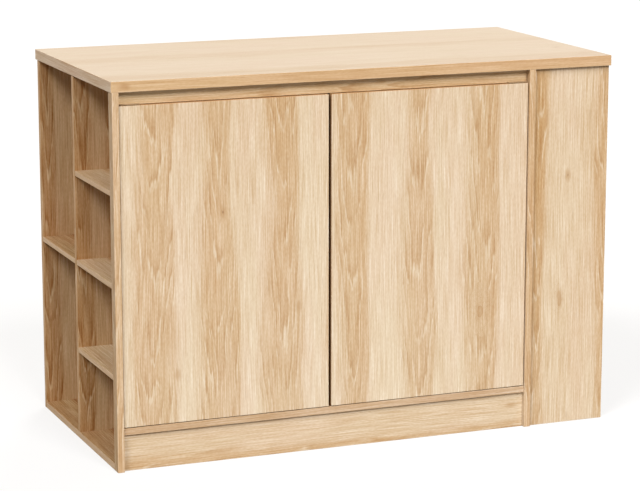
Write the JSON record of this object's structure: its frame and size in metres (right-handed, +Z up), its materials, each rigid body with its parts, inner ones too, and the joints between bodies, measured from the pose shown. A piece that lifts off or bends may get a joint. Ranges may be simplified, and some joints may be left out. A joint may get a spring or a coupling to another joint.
{
  "type": "kitchen island",
  "caption": "Free-standing oak-laminate kitchen island: an inset double-door cupboard between open shelf bays under a flat worktop.",
  "frame": {"origin": "on the floor, under the middle of the worktop", "axes": "+X along the island to the viewer's right of the doors, +Y from the doors to the back, +Z up"},
  "size_m": [1.25, 0.625, 0.9],
  "materials": {
    "worktop_laminate": "pale oak laminate, satin, grain along the worktop",
    "oak_laminate": "light oak laminate, satin, grain along each board",
    "beech": "plain beech dowel",
    "steel": "bright zinc-plated steel",
    "lacquered_steel": "steel in tan lacquer, matched to the laminate",
    "zinc": "dull die-cast zinc",
    "catch_plastic": "off-white moulded plastic",
    "ferrite": "black ferrite magnet"
  },
  "bodies": {
    "carcass": {"cam_bolts": "zinc", "cam_discs": "zinc", "carcass_dowels": "beech", "catch_magnets": "ferrite", "catch_screws": "steel", "cupboard_back": "oak_laminate", "cupboard_floor": "oak_laminate", "cupboard_shelf": "oak_laminate", "floor_bearer": "oak_laminate", "frame_hinge_screws": "steel", "left_bay_back": "oak_laminate", "left_bay_divider": "oak_laminate", "left_bay_floor": "oak_laminate", "left_bay_front_lower_shelf": "oak_laminate", "left_bay_front_middle_shelf": "oak_laminate", "left_bay_front_upper_shelf": "oak_laminate", "left_bay_rear_shelf": "oak_laminate", "left_bay_rear_upright": "oak_laminate", "left_door_catch": "catch_plastic", "left_door_lower_frame_hinge": "lacquered_steel", "left_door_upper_frame_hinge": "lacquered_steel", "left_front_liner": "oak_laminate", "left_front_post": "oak_laminate", "plinth": "oak_laminate", "right_bay_divider": "oak_laminate", "right_bay_floor": "oak_laminate", "right_bay_front_lower_shelf": "oak_laminate", "right_bay_front_middle_shelf": "oak_laminate", "right_bay_front_upper_shelf": "oak_laminate", "right_bay_rear_shelf": "oak_laminate", "right_bay_rear_upright": "oak_laminate", "right_door_catch": "catch_plastic", "right_door_lower_frame_hinge": "lacquered_steel", "right_door_upper_frame_hinge": "lacquered_steel", "right_front_panel": "oak_laminate", "right_partition": "oak_laminate", "shelf_dowels": "beech", "shelf_pins": "steel", "top_rail": "oak_laminate", "worktop": "worktop_laminate", "worktop_bracket_screws": "steel", "worktop_brackets": "steel", "worktop_dowels": "beech"},
    "left_door_leaf": {"left_door": "oak_laminate", "left_door_hinge_screws": "steel", "left_door_lower_door_hinge": "lacquered_steel", "left_door_strike_plate": "steel", "left_door_strike_screws": "steel", "left_door_upper_door_hinge": "lacquered_steel"},
    "right_door_leaf": {"right_door": "oak_laminate", "right_door_hinge_screws": "steel", "right_door_lower_door_hinge": "lacquered_steel", "right_door_strike_plate": "steel", "right_door_strike_screws": "steel", "right_door_upper_door_hinge": "lacquered_steel"}
  },
  "joints": [
    {"name": "left_door_hinge", "type": "hinge", "parent": "carcass", "child": "left_door_leaf", "pos_m": [-0.597, -0.3025, 0.4739], "axis": [0, 0, -1], "range_deg": [0, 105]},
    {"name": "right_door_hinge", "type": "hinge", "parent": "carcass", "child": "right_door_leaf", "pos_m": [0.398, -0.3025, 0.4739], "axis": [0, 0, 1], "range_deg": [0, 105]}
  ]
}
